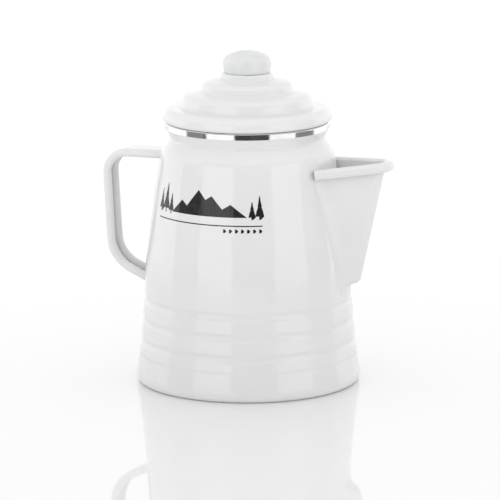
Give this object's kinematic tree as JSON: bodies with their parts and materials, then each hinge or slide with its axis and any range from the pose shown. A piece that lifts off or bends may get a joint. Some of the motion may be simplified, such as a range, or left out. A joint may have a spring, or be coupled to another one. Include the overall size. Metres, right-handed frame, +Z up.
{
  "type": "stovetop coffee percolator",
  "caption": "White enamelled steel percolator with strap handle, V spout, tiered lid, glass knob and a lift-out brewing basket on a pump stem.",
  "frame": {"origin": "centre of the base at the height of the ring that the pot stands on", "axes": "+Z up along the pot's axis, +X towards the spout, the handle on the -X side"},
  "size_m": [0.1813, 0.1352, 0.2012],
  "materials": {
    "enamel": "glossy white vitreous enamel on sheet steel",
    "polished_rim": "polished stainless steel",
    "knob_glass": "glossy milky blown glass",
    "insert_steel": "satin stainless steel"
  },
  "bodies": {
    "pot": {"pot_wall": "enamel", "base_pan": "enamel", "rim_ring": "polished_rim", "spout_shell": "enamel", "handle_strap": "enamel"},
    "pump": {"stem_tube": "insert_steel", "foot_bell": "insert_steel", "valve_cage": "insert_steel", "stem_stop": "insert_steel"},
    "valve": {"valve_disc": "insert_steel"},
    "basket": {"basket_cup": "insert_steel", "basket_sleeve": "insert_steel"},
    "spreader": {"spreader_plate": "insert_steel"},
    "lid": {"lid_shell": "enamel", "lid_skirt": "enamel"},
    "knob": {"knob": "knob_glass"}
  },
  "joints": [
    {"name": "pump_lift", "type": "slide", "parent": "pot", "child": "pump", "axis": [0, 0, 1], "range_m": [0, 0.17]},
    {"name": "valve_lift", "type": "slide", "parent": "pump", "child": "valve", "axis": [0, 0, 1], "range_m": [0, 0.0018]},
    {"name": "basket_lift", "type": "slide", "parent": "pump", "child": "basket", "axis": [0, 0, 1], "range_m": [0, 0.1]},
    {"name": "spreader_lift", "type": "slide", "parent": "basket", "child": "spreader", "axis": [0, 0, 1], "range_m": [0, 0.05]},
    {"name": "lid_lift", "type": "slide", "parent": "spreader", "child": "lid", "axis": [0, 0, 1], "range_m": [0, 0.08]},
    {"name": "knob_twist", "type": "hinge", "parent": "lid", "child": "knob", "pos_m": [0, 0, 0.1876], "axis": [0, 0, 1], "range_deg": [0, 60]}
  ]
}
